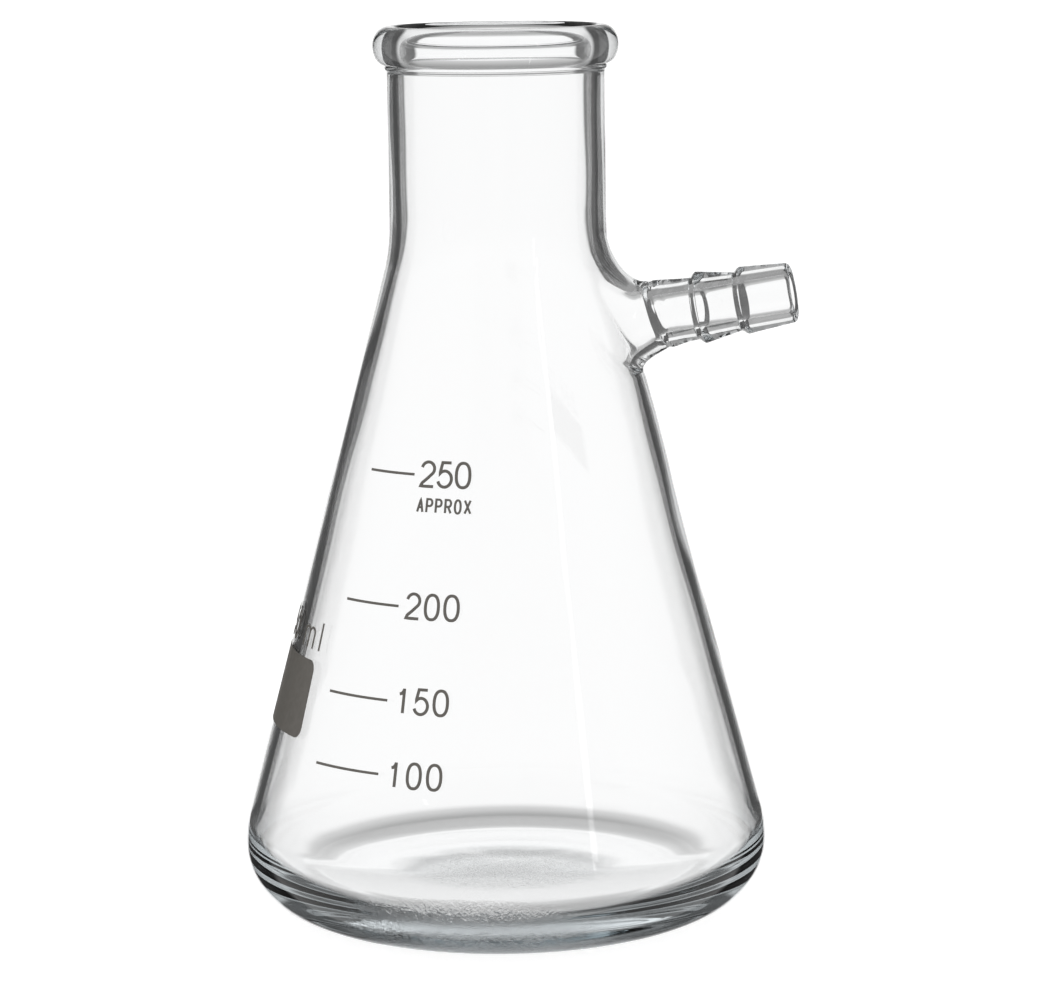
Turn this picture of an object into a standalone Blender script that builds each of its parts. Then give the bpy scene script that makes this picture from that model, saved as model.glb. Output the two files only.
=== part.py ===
"""A 250 ml filter flask (Buchner flask): a conical glass body with a barbed side arm and enamel marks.

Metres, +Z up. The origin is the centre of the flat underside, on the flask's axis, and the side arm
points along +X. The body and the side arm are separate solids that meet at the weld ring. Each enamel
mark is a thin solid of its own, wrapped on the cone.

Run it with: blender --background --python part.py
"""

import math

import bmesh
import bpy
from mathutils import Vector

MM = 0.001

# Flask body
HEIGHT = 150.0 * MM
BASE_FLAT_RADIUS = 31.0 * MM
WIDEST_RADIUS = 44.4 * MM
WIDEST_Z = 11.7 * MM
CONE_HALF_ANGLE = math.radians(14.95)
CONE_GAUGE_Z = 30.0 * MM
CONE_GAUGE_RADIUS = 40.4 * MM
NECK_RADIUS = 18.2 * MM
SHOULDER_FILLET = 30.0 * MM
CONE_WALL = 1.7 * MM
NECK_WALL = 2.2 * MM
FLOOR_THICKNESS = 6.0 * MM
INNER_HEEL_RADIUS = 8.0 * MM

# Rim: a narrow collar under a fire-polished bead with a flat crest
COLLAR_Z = 143.1 * MM
COLLAR_HEIGHT = 0.9 * MM
COLLAR_PROUD = 0.35 * MM
BEAD_FOOT_RADIUS = 18.4 * MM
BEAD_RADIUS = 20.5 * MM
BEAD_WIDEST_Z = 146.8 * MM
CREST_OUTER_RADIUS = 18.5 * MM
CREST_INNER_RADIUS = 17.5 * MM
MOUTH_RADIUS = 15.9 * MM
MOUTH_Z = 147.0 * MM

# Side arm: its axis rises from the weld ring, where the body's pulled-out boss ends
ARM_RISE = math.radians(9.7)
WELD_X = 26.7 * MM
WELD_Z = 101.9 * MM
WELD_GAP = 0.3 * MM
WELD_RADIUS = 5.75 * MM
ARM_LENGTH = 23.3 * MM
ARM_WAIST_RADIUS = 5.1 * MM
ARM_BORE_RADIUS = 3.25 * MM
BARB_STEP_LENGTH = 1.3 * MM
BARBS = (  # where the shoulder steps up, its radius, and the radius that it tapers to
    (6.4 * MM, 5.9 * MM, 4.8 * MM),
    (13.7 * MM, 5.5 * MM, 4.9 * MM),
)
ARM_END_ROUNDING = 0.9 * MM
ARM_LIP_FALL = 0.45 * MM  # how far the rounded end drops before its flat ring
ARM_BORE_CHAMFER = 0.25 * MM
BOSS_REACH = 9.2 * MM  # distance from the arm's axis where the boss leaves the cone
FUNNEL_REACH = 6.6 * MM  # the same inside, where the bore's mouth flares into the body
FUNNEL_DEPTH = 3.0 * MM  # from the weld ring back to where the bore starts to flare

# Enamel marks. Angles are counted round the axis from the side that the graduations are read from.
READING_SIDE = math.radians(-80.0)  # polar angle of that side
ENAMEL_GAP = 0.1 * MM
ENAMEL_THICKNESS = 0.15 * MM
LINE_WIDTH = 0.55 * MM
LINE_FROM = math.radians(-49.8)
LINE_TO = math.radians(-31.4)
GRADUATIONS = {  # height of each line, and how far apart its digits stand
    "250": (78.3 * MM, 3.05 * MM),
    "200": (57.4 * MM, 3.35 * MM),
    "150": (42.5 * MM, 3.35 * MM),
    "100": (30.9 * MM, 3.5 * MM),
}
TEXT_FROM = math.radians(-28.6)
DIGIT_HEIGHT = 4.5 * MM
DIGIT_WIDTH = 2.75 * MM
DIGIT_ONE_WIDTH = 1.2 * MM
DIGIT_STROKE = 0.5 * MM
DIGIT_DROP = 2.0 * MM  # from the graduation line down to the digits' feet
STEEPEST_MITRE = 1.5
WORD = "APPROX"
WORD_Z = 72.3 * MM
WORD_HEIGHT = 2.5 * MM
WORD_WIDTH = 1.3 * MM
WORD_PITCH = 1.65 * MM
SPOT_FROM = math.radians(-100.0)
SPOT_TO = math.radians(-60.0)
SPOT_Z = (33.5 * MM, 46.25 * MM)
SPOT_CORNER = 1.8 * MM
CAPACITY_Z = 47.8 * MM
CAPACITY_HEIGHT = 5.1 * MM
CAPACITY_DIGITS_FROM = math.radians(-92.4)
CAPACITY_DIGIT_WIDTH = 3.0 * MM
CAPACITY_DIGIT_PITCH = 3.9 * MM
CAPACITY_LETTERS = {  # the angle where each starts, its width and its height
    "m": (math.radians(-70.7), 5.1 * MM, 3.8 * MM),
    "l": (math.radians(-59.9), 0.45 * MM, CAPACITY_HEIGHT),
}

# Mesh resolution
COLUMNS = 48  # around the body
WINDOW_COLUMNS = 10  # of them, replaced by the round junction with the side arm
WINDOW_ROWS = 8
WINDOW_Z = (90.0 * MM, 114.0 * MM)
JUNCTION_RINGS = 2  # along the wall, before the fillet's own rings
FILLET_RINGS = 5
BLEND_STEPS = 6
WAIST_STEPS = 5
SHOULDER_STEPS = 4
BISECTIONS = 40

GLASS_COLOUR = (0.85, 0.90, 0.88, 1.0)
ENAMEL_COLOUR = (0.18, 0.17, 0.16, 1.0)


def clear_scene():
    for obj in list(bpy.data.objects):
        bpy.data.objects.remove(obj)


def material(name, colour, roughness, transmission=0.0):
    made = bpy.data.materials.new(name)
    made.use_nodes = True
    shader = made.node_tree.nodes["Principled BSDF"]
    shader.inputs["Base Color"].default_value = colour
    shader.inputs["Roughness"].default_value = roughness
    shader.inputs["Metallic"].default_value = 0.0
    shader.inputs["IOR"].default_value = 1.47
    shader.inputs["Transmission Weight"].default_value = transmission
    return made


def add_object(name, mesh, finish):
    mesh.materials.append(finish)
    mesh.shade_smooth()
    mesh.set_sharp_from_angle(angle=math.radians(40))
    obj = bpy.data.objects.new(name, mesh)
    bpy.context.scene.collection.objects.link(obj)
    return obj


def mesh_of(name, shape):
    """The finished bmesh as a mesh, with all its faces turned outward."""
    bmesh.ops.recalc_face_normals(shape, faces=shape.faces)
    mesh = bpy.data.meshes.new(name)
    shape.to_mesh(mesh)
    shape.free()
    return mesh


def arc(centre, radii, start, end, steps):
    """Points (r, z) along an elliptical arc, both ends included; angles in degrees from +r towards +z."""
    points = []
    for i in range(steps + 1):
        angle = math.radians(start + (end - start) * i / steps)
        points.append((centre[0] + radii[0] * math.cos(angle), centre[1] + radii[1] * math.sin(angle)))
    return points


def cone_radius(z, inset=0.0):
    """Radius of the straight cone at height z, or of the cone set in by a wall's thickness."""
    slope = math.tan(CONE_HALF_ANGLE)
    return CONE_GAUGE_RADIUS - (z - CONE_GAUGE_Z) * slope - inset / math.cos(CONE_HALF_ANGLE)


def neck_blend(radius, inset, fillet):
    """The hollow arc that joins the cone to a straight neck of the given radius."""
    slope = math.tan(CONE_HALF_ANGLE)
    corner_z = CONE_GAUGE_Z + (cone_radius(CONE_GAUGE_Z, inset) - radius) / slope
    centre_z = corner_z + fillet * math.tan(CONE_HALF_ANGLE / 2)
    tilt = math.degrees(CONE_HALF_ANGLE)
    return arc((radius + fillet, centre_z), (fillet, fillet), 180 + tilt, 180, BLEND_STEPS)


def window_rows():
    """The heights of the rows that the junction window replaces, with its two edges."""
    low, high = WINDOW_Z
    return [low + (high - low) * i / WINDOW_ROWS for i in range(WINDOW_ROWS + 1)]


def with_window(points):
    """The outline with a point at each of the window's rows in place of its own points there."""
    rows = [(radius_at(points, z), z) for z in window_rows()]
    below = [p for p in points if p[1] < WINDOW_Z[0] - MM]
    above = [p for p in points if p[1] > WINDOW_Z[1] + MM / 2]
    return below + rows + above


def radius_at(points, z):
    """Radius of an outline that climbs from point to point, at height z."""
    for (r0, z0), (r1, z1) in zip(points, points[1:]):
        if z0 <= z <= z1:
            return r0 + (r1 - r0) * (z - z0) / (z1 - z0)
    raise ValueError(f"the outline doesn't reach z = {z}")


def outer_side():
    """The outside from the edge of the flat base up to the top of the straight neck."""
    heel = arc(
        (BASE_FLAT_RADIUS, WIDEST_Z), (WIDEST_RADIUS - BASE_FLAT_RADIUS, WIDEST_Z), -90, 0, 9
    )
    reach = cone_radius(WIDEST_Z) * math.cos(CONE_HALF_ANGLE)
    side_radius = (reach - WIDEST_RADIUS * math.cos(CONE_HALF_ANGLE)) / (1 - math.cos(CONE_HALF_ANGLE))
    side = arc(
        (WIDEST_RADIUS - side_radius, WIDEST_Z),
        (side_radius, side_radius),
        0,
        math.degrees(CONE_HALF_ANGLE),
        4,
    )
    cone = [(cone_radius(z), z) for z in (45 * MM, 68 * MM)]
    blend = neck_blend(NECK_RADIUS, 0.0, SHOULDER_FILLET)
    neck = [(NECK_RADIUS, 130 * MM), (NECK_RADIUS, COLLAR_Z - COLLAR_HEIGHT / 2)]
    return heel + side[1:] + cone + blend + neck


def inner_side():
    """The inside from the edge of the flat floor up to the top of the straight neck."""
    tilt = CONE_HALF_ANGLE
    centre_z = FLOOR_THICKNESS + INNER_HEEL_RADIUS
    centre_r = cone_radius(centre_z + INNER_HEEL_RADIUS * math.sin(tilt), CONE_WALL)
    centre_r -= INNER_HEEL_RADIUS * math.cos(tilt)
    heel = arc(
        (centre_r, centre_z), (INNER_HEEL_RADIUS, INNER_HEEL_RADIUS), -90, math.degrees(tilt), 8
    )
    cone = [(cone_radius(z, CONE_WALL), z) for z in (45 * MM, 68 * MM)]
    radius = NECK_RADIUS - NECK_WALL
    blend = neck_blend(radius, CONE_WALL, SHOULDER_FILLET + NECK_WALL)
    neck = [(radius, 130 * MM), (radius, COLLAR_Z - COLLAR_HEIGHT / 2)]
    return heel + cone + blend + neck


def rim():
    """The outline over the rim, from the outside of the neck to the inside."""
    collar = arc((NECK_RADIUS, COLLAR_Z), (COLLAR_PROUD, COLLAR_HEIGHT / 2), -60, 50, 3)
    bead_height = BEAD_WIDEST_Z - (COLLAR_Z + COLLAR_HEIGHT / 2)
    under = arc(
        (BEAD_FOOT_RADIUS, BEAD_WIDEST_Z),
        (BEAD_RADIUS - BEAD_FOOT_RADIUS, bead_height),
        -78,
        0,
        4,
    )
    over = arc(
        (CREST_OUTER_RADIUS, BEAD_WIDEST_Z),
        (BEAD_RADIUS - CREST_OUTER_RADIUS, HEIGHT - BEAD_WIDEST_Z),
        0,
        90,
        4,
    )
    inside = arc(
        (CREST_INNER_RADIUS, MOUTH_Z),
        (CREST_INNER_RADIUS - MOUTH_RADIUS, HEIGHT - MOUTH_Z),
        90,
        180,
        4,
    )
    return collar + under + over[1:] + inside


def ring_at(shape, radius, z):
    turn = 2 * math.pi / COLUMNS
    # Column 0 lies at the window's middle, straight above +X.
    return [
        shape.verts.new((radius * math.cos(turn * i), radius * math.sin(turn * i), z))
        for i in range(COLUMNS)
    ]


def in_window(column):
    """Whether the strip between this column and the next belongs to the window."""
    half = WINDOW_COLUMNS // 2
    return column < half or column >= COLUMNS - half


def strip(shape, lower, upper, skip_window=False):
    for i in range(COLUMNS):
        if skip_window and in_window(i):
            continue
        j = (i + 1) % COLUMNS
        shape.faces.new((lower[i], lower[j], upper[j], upper[i]))


def window_edge(rings):
    """The vertices round the window, in order, from the rings at its rows."""
    half = WINDOW_COLUMNS // 2
    across = range(-half, half + 1)
    bottom = [rings[0][i] for i in across]
    right = [ring[half] for ring in rings[1:-1]]
    top = [rings[-1][i] for i in reversed(across)]
    left = [ring[-half] for ring in reversed(rings[1:-1])]
    return bottom + right + top + left


def arm_axes():
    """The weld ring's centre, the arm's direction, and its sideways and upward directions."""
    along = Vector((math.cos(ARM_RISE), 0, math.sin(ARM_RISE)))
    side = Vector((0, 1, 0))
    return Vector((WELD_X, 0, WELD_Z)), along, side, along.cross(side) * -1


def arm_point(reach, angle, distance):
    """The point at this distance along the arm from the weld ring, and this reach from its axis."""
    centre, along, side, up = arm_axes()
    return centre + along * distance + (side * math.cos(angle) + up * math.sin(angle)) * reach


def depth_on_wall(outline, reach, angle):
    """How far along the arm's axis the line at this reach and angle meets the wall."""
    low, high = -WELD_X, 0.0
    for _ in range(BISECTIONS):
        middle = (low + high) / 2
        point = arm_point(reach, angle, middle)
        if math.hypot(point.x, point.y) < radius_at(outline, point.z):
            low = middle
        else:
            high = middle
    return (low + high) / 2


def junction(shape, outline, edge, reach, end_reach, end_depth):
    """Faces from the window's edge to a ring round the arm's axis: first along the wall, then a smooth
    fillet that turns into the arm's direction. Returns the ring."""
    centre, _, side, up = arm_axes()
    angles, reaches = [], []
    for vertex in edge:
        offset = vertex.co - centre
        angles.append(math.atan2(offset.dot(up), offset.dot(side)))
        reaches.append(math.hypot(offset.dot(up), offset.dot(side)))
    previous = edge
    for ring in range(1, JUNCTION_RINGS + 1):
        share = ring / JUNCTION_RINGS
        current = []
        for angle, outer in zip(angles, reaches):
            here = outer + (reach - outer) * share
            current.append(shape.verts.new(arm_point(here, angle, depth_on_wall(outline, here, angle))))
        bridge(shape, previous, current)
        previous = current
    step = 0.1 * MM
    for ring in range(1, FILLET_RINGS + 1):
        share = ring / FILLET_RINGS
        current = []
        for angle in angles:
            start = depth_on_wall(outline, reach, angle)
            slope = (start - depth_on_wall(outline, reach + step, angle)) / step
            corner = start + slope * (reach - end_reach)
            weights = ((1 - share) ** 2, 2 * share * (1 - share), share**2)
            here = weights[0] * reach + (weights[1] + weights[2]) * end_reach
            depth = weights[0] * start + weights[1] * corner + weights[2] * end_depth
            current.append(shape.verts.new(arm_point(here, angle, depth)))
        bridge(shape, previous, current)
        previous = current
    return previous, angles


def bridge(shape, first, second):
    count = len(first)
    for i in range(count):
        j = (i + 1) % count
        shape.faces.new((first[i], first[j], second[j], second[i]))


def flask_body(glass):
    """The blown body: outside and inside walls with the side hole's boss, closed over the rim."""
    shape = bmesh.new()
    ends = []
    rim_rings = [ring_at(shape, r, z) for r, z in rim()]
    for side, reach, end in (
        (outer_side(), BOSS_REACH, (WELD_RADIUS, 0.0)),
        (inner_side(), FUNNEL_REACH, (ARM_BORE_RADIUS, -FUNNEL_DEPTH)),
    ):
        outline = with_window(side)
        rings = [ring_at(shape, r, z) for r, z in outline]
        first = next(i for i, point in enumerate(outline) if point[1] == WINDOW_Z[0])
        window = rings[first : first + WINDOW_ROWS + 1]
        for i, (lower, upper) in enumerate(zip(rings, rings[1:])):
            strip(shape, lower, upper, first <= i < first + WINDOW_ROWS)
        shape.faces.new(rings[0])
        ends.append((rings[-1], *junction(shape, outline, window_edge(window), reach, *end)))
    chain = [ends[0][0], *rim_rings, ends[1][0]]
    for lower, upper in zip(chain, chain[1:]):
        strip(shape, lower, upper)
    outer_ring, inner_start, inner_angles = ends[0][1], ends[1][1], ends[1][2]
    inner_ring = [shape.verts.new(arm_point(ARM_BORE_RADIUS, angle, 0.0)) for angle in inner_angles]
    bridge(shape, inner_start, inner_ring)
    bridge(shape, outer_ring, inner_ring)
    return add_object("flask_body", mesh_of("flask_body", shape), glass)


def arm_outline():
    """The side arm's section as (distance along the arm, radius), out along the barbs and back in the
    bore, which closes it."""
    points = [(WELD_GAP, ARM_BORE_RADIUS)]
    first_step = BARBS[0][0]
    for i in range(WAIST_STEPS + 1):
        share = i / WAIST_STEPS
        fall = (1 - math.cos(math.pi * share)) / 2
        distance = WELD_GAP + (first_step - WELD_GAP) * share
        points.append((distance, WELD_RADIUS + (ARM_WAIST_RADIUS - WELD_RADIUS) * fall))
    lip = ARM_LENGTH - ARM_END_ROUNDING
    ends = [step for step, _, _ in BARBS[1:]] + [lip]
    for (step, shoulder, tail), end in zip(BARBS, ends):
        foot = points[-1][1]
        for i in range(1, SHOULDER_STEPS + 1):
            share = i / SHOULDER_STEPS
            rise = math.sin(share * math.pi / 2)
            points.append((step + BARB_STEP_LENGTH * share, foot + (shoulder - foot) * rise))
        points.append((end, tail))
    tail = BARBS[-1][2]
    points += arc((lip, tail - ARM_LIP_FALL), (ARM_END_ROUNDING, ARM_LIP_FALL), 60, 0, 3)
    points.append((ARM_LENGTH, ARM_BORE_RADIUS + ARM_BORE_CHAMFER))
    points.append((ARM_LENGTH - ARM_BORE_CHAMFER, ARM_BORE_RADIUS))
    return points


def side_arm(glass):
    """The barbed hose connection: its section turned about the arm's axis."""
    shape = bmesh.new()
    segments = 2 * (WINDOW_COLUMNS + WINDOW_ROWS)
    turn = 2 * math.pi / segments
    rings = [
        [shape.verts.new(arm_point(radius, turn * i, distance)) for i in range(segments)]
        for distance, radius in arm_outline()
    ]
    for first, second in zip(rings, rings[1:] + rings[:1]):
        bridge(shape, first, second)
    return add_object("side_arm", mesh_of("side_arm", shape), glass)


def on_cone(angle, height, lift):
    """A point over the cone's surface: angle from the reading side, height, and lift off the glass."""
    radius = cone_radius(height) + lift * math.cos(CONE_HALF_ANGLE)
    polar = READING_SIDE + angle
    return Vector(
        (radius * math.cos(polar), radius * math.sin(polar), height + lift * math.sin(CONE_HALF_ANGLE))
    )


def enamel_patch(name, outline, columns, enamel):
    """A thin solid over the cone between angle-height pairs (low, high) at each column's angle."""
    shape = bmesh.new()
    lifts = (ENAMEL_GAP, ENAMEL_GAP + ENAMEL_THICKNESS)
    rows = []
    for i in range(columns + 1):
        angle, low, high = outline(i / columns)
        rows.append(
            [shape.verts.new(on_cone(angle, height, lift)) for lift in lifts for height in (low, high)]
        )
    for a, b in zip(rows, rows[1:]):
        shape.faces.new((a[0], a[1], b[1], b[0]))
        shape.faces.new((a[2], b[2], b[3], a[3]))
        shape.faces.new((a[0], b[0], b[2], a[2]))
        shape.faces.new((a[1], a[3], b[3], b[1]))
    for end in (rows[0], rows[-1]):
        shape.faces.new((end[0], end[2], end[3], end[1]))
    return add_object(name, mesh_of(name, shape), enamel)


def graduation_line(label, height, enamel):
    def edges(share):
        angle = LINE_FROM + (LINE_TO - LINE_FROM) * share
        return angle, height - LINE_WIDTH / 2, height + LINE_WIDTH / 2

    return enamel_patch(f"graduation_line_{label}", edges, 8, enamel)


def marking_spot(enamel):
    """The patch to write on, with rounded corners."""
    low, high = SPOT_Z
    corner_angle = SPOT_CORNER / cone_radius((low + high) / 2)
    columns = 24

    def edges(share):
        # The columns crowd towards both ends, where the corners turn.
        angle = SPOT_FROM + (SPOT_TO - SPOT_FROM) * (1 - math.cos(math.pi * share)) / 2
        from_end = min(angle - SPOT_FROM, SPOT_TO - angle)
        into_corner = max(0.0, 1 - from_end / corner_angle)
        trim = SPOT_CORNER * (1 - math.sqrt(max(0.0, 1 - into_corner**2)))
        return angle, low + trim, high - trim

    return enamel_patch("marking_spot", edges, columns, enamel)


def digit_zero(width, height):
    """The zero's centre line: a closed oval, a little squarer than an ellipse."""
    steps = 20
    points = []
    for i in range(steps):
        angle = 2 * math.pi * i / steps
        across = math.copysign(abs(math.cos(angle)) ** 0.85, math.cos(angle))
        up = math.copysign(abs(math.sin(angle)) ** 0.85, math.sin(angle))
        points.append((width / 2 * (1 + across), height / 2 * (1 + up)))
    return points


def digit_two(width, height):
    hook = width / 2
    bow = arc((hook, height - hook), (hook, hook), 170, -38, 9)
    return bow + [(width * 0.45, height * 0.30), (width * 0.12, height * 0.14), (0.0, 0.0), (width, 0.0)]


def digit_five(width, height):
    flag = [(width * 0.93, height), (width * 0.26, height), (width * 0.08, height * 0.50)]
    bowl = arc((width * 0.48, height * 0.33), (width * 0.52, height * 0.33), 128, -162, 11)
    return flag + bowl


DIGIT_PATHS = {"0": digit_zero, "2": digit_two, "5": digit_five}


def stroke_sides(path, width, closed):
    """Both sides of a stroke of this width along the path, mitred at its corners."""
    left, right = [], []
    count = len(path)
    for i, here in enumerate(path):
        before = path[i - 1] if i or closed else None
        after = path[(i + 1) % count] if i < count - 1 or closed else None
        headings = []
        for start, end in ((before, here), (here, after)):
            if start and end:
                length = math.dist(start, end)
                headings.append(((end[0] - start[0]) / length, (end[1] - start[1]) / length))
        sum_x = sum(h[0] for h in headings)
        sum_y = sum(h[1] for h in headings)
        length = math.hypot(sum_x, sum_y)
        half = width / 2 * min(STEEPEST_MITRE, len(headings) / length)
        normal = (-sum_y / length * half, sum_x / length * half)
        left.append((here[0] + normal[0], here[1] + normal[1]))
        right.append((here[0] - normal[0], here[1] - normal[1]))
    return left, right


def digit_one(width, height, stroke):
    """The one's outline: an upright with a small flag."""
    stem = width - stroke
    return [
        (stem, 0.0),
        (width, 0.0),
        (width, height),
        (width - 0.6 * stroke, height),
        (stem * 0.80, height * 0.87),
        (stem * 0.45, height * 0.82),
        (0.0, height * 0.80),
        (0.0, height * 0.72),
        (stem, height * 0.72),
    ]


def wrapped(shape, points, angle, z, middle):
    """The points' vertices on the enamel's underside and on its face, wrapped on the cone."""
    layers = []
    for lift in (ENAMEL_GAP, ENAMEL_GAP + ENAMEL_THICKNESS):
        layers.append(
            [
                shape.verts.new(
                    on_cone(angle + x / cone_radius(middle), z + y * math.cos(CONE_HALF_ANGLE), lift)
                )
                for x, y in points
            ]
        )
    return layers


def digit(name, character, width, height, angle, z, enamel):
    """One printed digit, wrapped on the cone with its upright strokes along the cone's slant."""
    shape = bmesh.new()
    middle = z + height / 2
    if character == "1":
        under, face = wrapped(
            shape, digit_one(DIGIT_ONE_WIDTH, height, DIGIT_STROKE), angle, z, middle
        )
        shape.faces.new(under)
        shape.faces.new(face)
        bridge(shape, under, face)
        return add_object(name, mesh_of(name, shape), enamel)
    inset = DIGIT_STROKE / 2
    path = DIGIT_PATHS[character](width - DIGIT_STROKE, height - DIGIT_STROKE)
    path = [(x + inset, y + inset) for x, y in path]
    closed = character == "0"
    left, right = (
        wrapped(shape, side, angle, z, middle) for side in stroke_sides(path, DIGIT_STROKE, closed)
    )
    corners = (left[0], right[0], right[1], left[1])
    for i in range(len(path) - (not closed)):
        j = (i + 1) % len(path)
        for a, b in zip(corners, corners[1:] + corners[:1]):
            shape.faces.new((a[i], b[i], b[j], a[j]))
    if not closed:
        for end in (0, -1):
            shape.faces.new([corner[end] for corner in corners])
    return add_object(name, mesh_of(name, shape), enamel)


def letter(name, character, width, height, angle, z, enamel):
    """One printed letter, made from plain text and wrapped on the cone like the digits."""
    text = bpy.data.curves.new(name, "FONT")
    text.body = character
    text.resolution_u = 3
    text.extrude = ENAMEL_THICKNESS / 2
    flat = bpy.data.objects.new(name, text)
    bpy.context.scene.collection.objects.link(flat)
    bpy.context.view_layer.update()
    mesh = bpy.data.meshes.new_from_object(flat.evaluated_get(bpy.context.evaluated_depsgraph_get()))
    bpy.data.objects.remove(flat)
    bpy.data.curves.remove(text)
    shape = bmesh.new()
    shape.from_mesh(mesh)
    bpy.data.meshes.remove(mesh)
    bmesh.ops.remove_doubles(shape, verts=shape.verts, dist=1e-6)
    left = min(v.co.x for v in shape.verts)
    right = max(v.co.x for v in shape.verts)
    bottom = min(v.co.y for v in shape.verts)
    top = max(v.co.y for v in shape.verts)
    radius = cone_radius(z + height / 2)
    for vertex in shape.verts:
        across = (vertex.co.x - left) / (right - left) * width
        up = (vertex.co.y - bottom) / (top - bottom) * height
        lift = ENAMEL_GAP + ENAMEL_THICKNESS / 2 + vertex.co.z
        vertex.co = on_cone(angle + across / radius, z + up * math.cos(CONE_HALF_ANGLE), lift)
    return add_object(name, mesh_of(name, shape), enamel)


def numerals(enamel):
    """The three digits beside each graduation line."""
    for label, (height, pitch) in GRADUATIONS.items():
        foot = height - DIGIT_DROP
        for place, character in enumerate(label):
            angle = TEXT_FROM + place * pitch / cone_radius(height)
            name = f"numeral_{label}_digit_{place + 1}"
            digit(name, character, DIGIT_WIDTH, DIGIT_HEIGHT, angle, foot, enamel)


def word(enamel):
    for place, character in enumerate(WORD):
        angle = TEXT_FROM + place * WORD_PITCH / cone_radius(WORD_Z)
        letter(f"approx_letter_{place + 1}", character, WORD_WIDTH, WORD_HEIGHT, angle, WORD_Z, enamel)


def capacity_text(enamel):
    """The flask's capacity, 250 ml, over the marking spot."""
    for place, character in enumerate("250"):
        angle = CAPACITY_DIGITS_FROM + place * CAPACITY_DIGIT_PITCH / cone_radius(CAPACITY_Z)
        name = f"capacity_digit_{place + 1}"
        digit(name, character, CAPACITY_DIGIT_WIDTH, CAPACITY_HEIGHT, angle, CAPACITY_Z, enamel)
    for character, (angle, width, height) in CAPACITY_LETTERS.items():
        letter(f"capacity_letter_{character}", character, width, height, angle, CAPACITY_Z, enamel)


def main():
    clear_scene()
    glass = material("clear_glass", GLASS_COLOUR, 0.02, transmission=1.0)
    enamel = material("grey_enamel", ENAMEL_COLOUR, 0.45)
    flask_body(glass)
    side_arm(glass)
    for label, (height, _) in GRADUATIONS.items():
        graduation_line(label, height, enamel)
    marking_spot(enamel)
    numerals(enamel)
    word(enamel)
    capacity_text(enamel)


main()
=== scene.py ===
"""The looks of the filter flask: one fused piece of clear glass, its fired enamel marks and a plain
pale studio.

The body and the side arm are one surface here, as in the real flask, where the arm is flame-sealed
to the body. It has the main sizes of the CAD solids, with a rounder rim, larger fillets round the
arm and the slight unevenness of blown glass. Lengths are in millimetres unless a comment says
otherwise.
"""

import math

import bmesh
import bpy
from mathutils import Matrix, Vector, noise


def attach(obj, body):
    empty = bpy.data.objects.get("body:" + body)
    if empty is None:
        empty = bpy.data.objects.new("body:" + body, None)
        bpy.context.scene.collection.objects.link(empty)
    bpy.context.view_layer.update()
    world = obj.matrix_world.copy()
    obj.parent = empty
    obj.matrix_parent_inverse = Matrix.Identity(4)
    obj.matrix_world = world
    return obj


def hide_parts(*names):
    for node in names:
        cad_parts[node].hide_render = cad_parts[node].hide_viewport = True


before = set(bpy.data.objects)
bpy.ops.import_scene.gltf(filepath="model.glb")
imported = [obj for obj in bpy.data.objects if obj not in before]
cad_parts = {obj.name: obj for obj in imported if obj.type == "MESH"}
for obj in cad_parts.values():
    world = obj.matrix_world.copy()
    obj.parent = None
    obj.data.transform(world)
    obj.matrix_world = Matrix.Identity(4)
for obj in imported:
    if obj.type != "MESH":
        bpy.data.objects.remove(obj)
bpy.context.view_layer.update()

MM = 0.001
TURN = 2 * math.pi

# Flask body
HEIGHT = 150.0
BASE_FLAT_RADIUS = 31.0
WIDEST_RADIUS = 44.4
WIDEST_Z = 11.7
CONE_HALF_ANGLE = math.radians(14.95)
CONE_SLOPE = math.tan(CONE_HALF_ANGLE)
CONE_GAUGE_Z = 30.0
CONE_GAUGE_RADIUS = 40.4
NECK_RADIUS = 18.2
SHOULDER_FILLET = 30.0
CONE_WALL = 1.7
NECK_WALL = 2.2
FLOOR_THICKNESS = 6.0
INNER_HEEL_RADIUS = 8.0
FLOOR_SWELL = 0.7
AXIS_RING = 1.5  # innermost ring of the underside and of the floor
PUNT_RISE = 0.9
PUNT_RADIUS = 27.0
PUNT_RINGS = (AXIS_RING, 5, 9, 13, 17, 20, 22.5, 24.5, 26, PUNT_RADIUS)

# The wall drawn out below the side arm
PULL = 0.6
PULL_HALF_TURN = math.radians(35.0)
PULL_Z = 86.0
PULL_HEIGHT = 14.0

# Rim
COLLAR_Z = 143.1
COLLAR_HEIGHT = 0.9
COLLAR_PROUD = 0.35
BEAD_FOOT_RADIUS = 18.4
BEAD_RADIUS = 20.5
BEAD_WIDEST_Z = 146.8
CREST_OUTER_RADIUS = 17.8
CREST_INNER_RADIUS = 17.5
MOUTH_RADIUS = 15.9
MOUTH_Z = 147.0
MOUTH_TO_NECK = 1.0  # drop from the mouth to the first ring of the neck's straight inside
NECK_TO_COLLAR = 0.3

# Unevenness of the blown glass
NOISE_RADIUS = 20
NOISE_STRETCH = 0.6
OUTER_SEED, OUTER_GRAIN, OUTER_UNEVEN = 3.1, 16, 0.05
OUTER_FADE_Z, OUTER_FADE_HEIGHT = 12.0, 20.0
INNER_SEED, INNER_GRAIN, INNER_UNEVEN = 41.7, 18, 0.15
RIPPLE_SEED, RIPPLE_GRAIN, RIPPLE = 77.3, 7, 0.04
INNER_FADE_Z, INNER_FADE_HEIGHT, INNER_FADE_LEAST = 30.0, 40.0, 0.2
RIM_UNEVEN = 0.03
FLOOR_UNEVEN = 0.03
AXIS_FADE_RADIUS = 30.0
AXIS_FADE_TOP = 60
DIMPLES = ((0.14, 11, 9.9), (0.03, 4, 3.3))  # height, grain and seed of each noise on the floor

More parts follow.
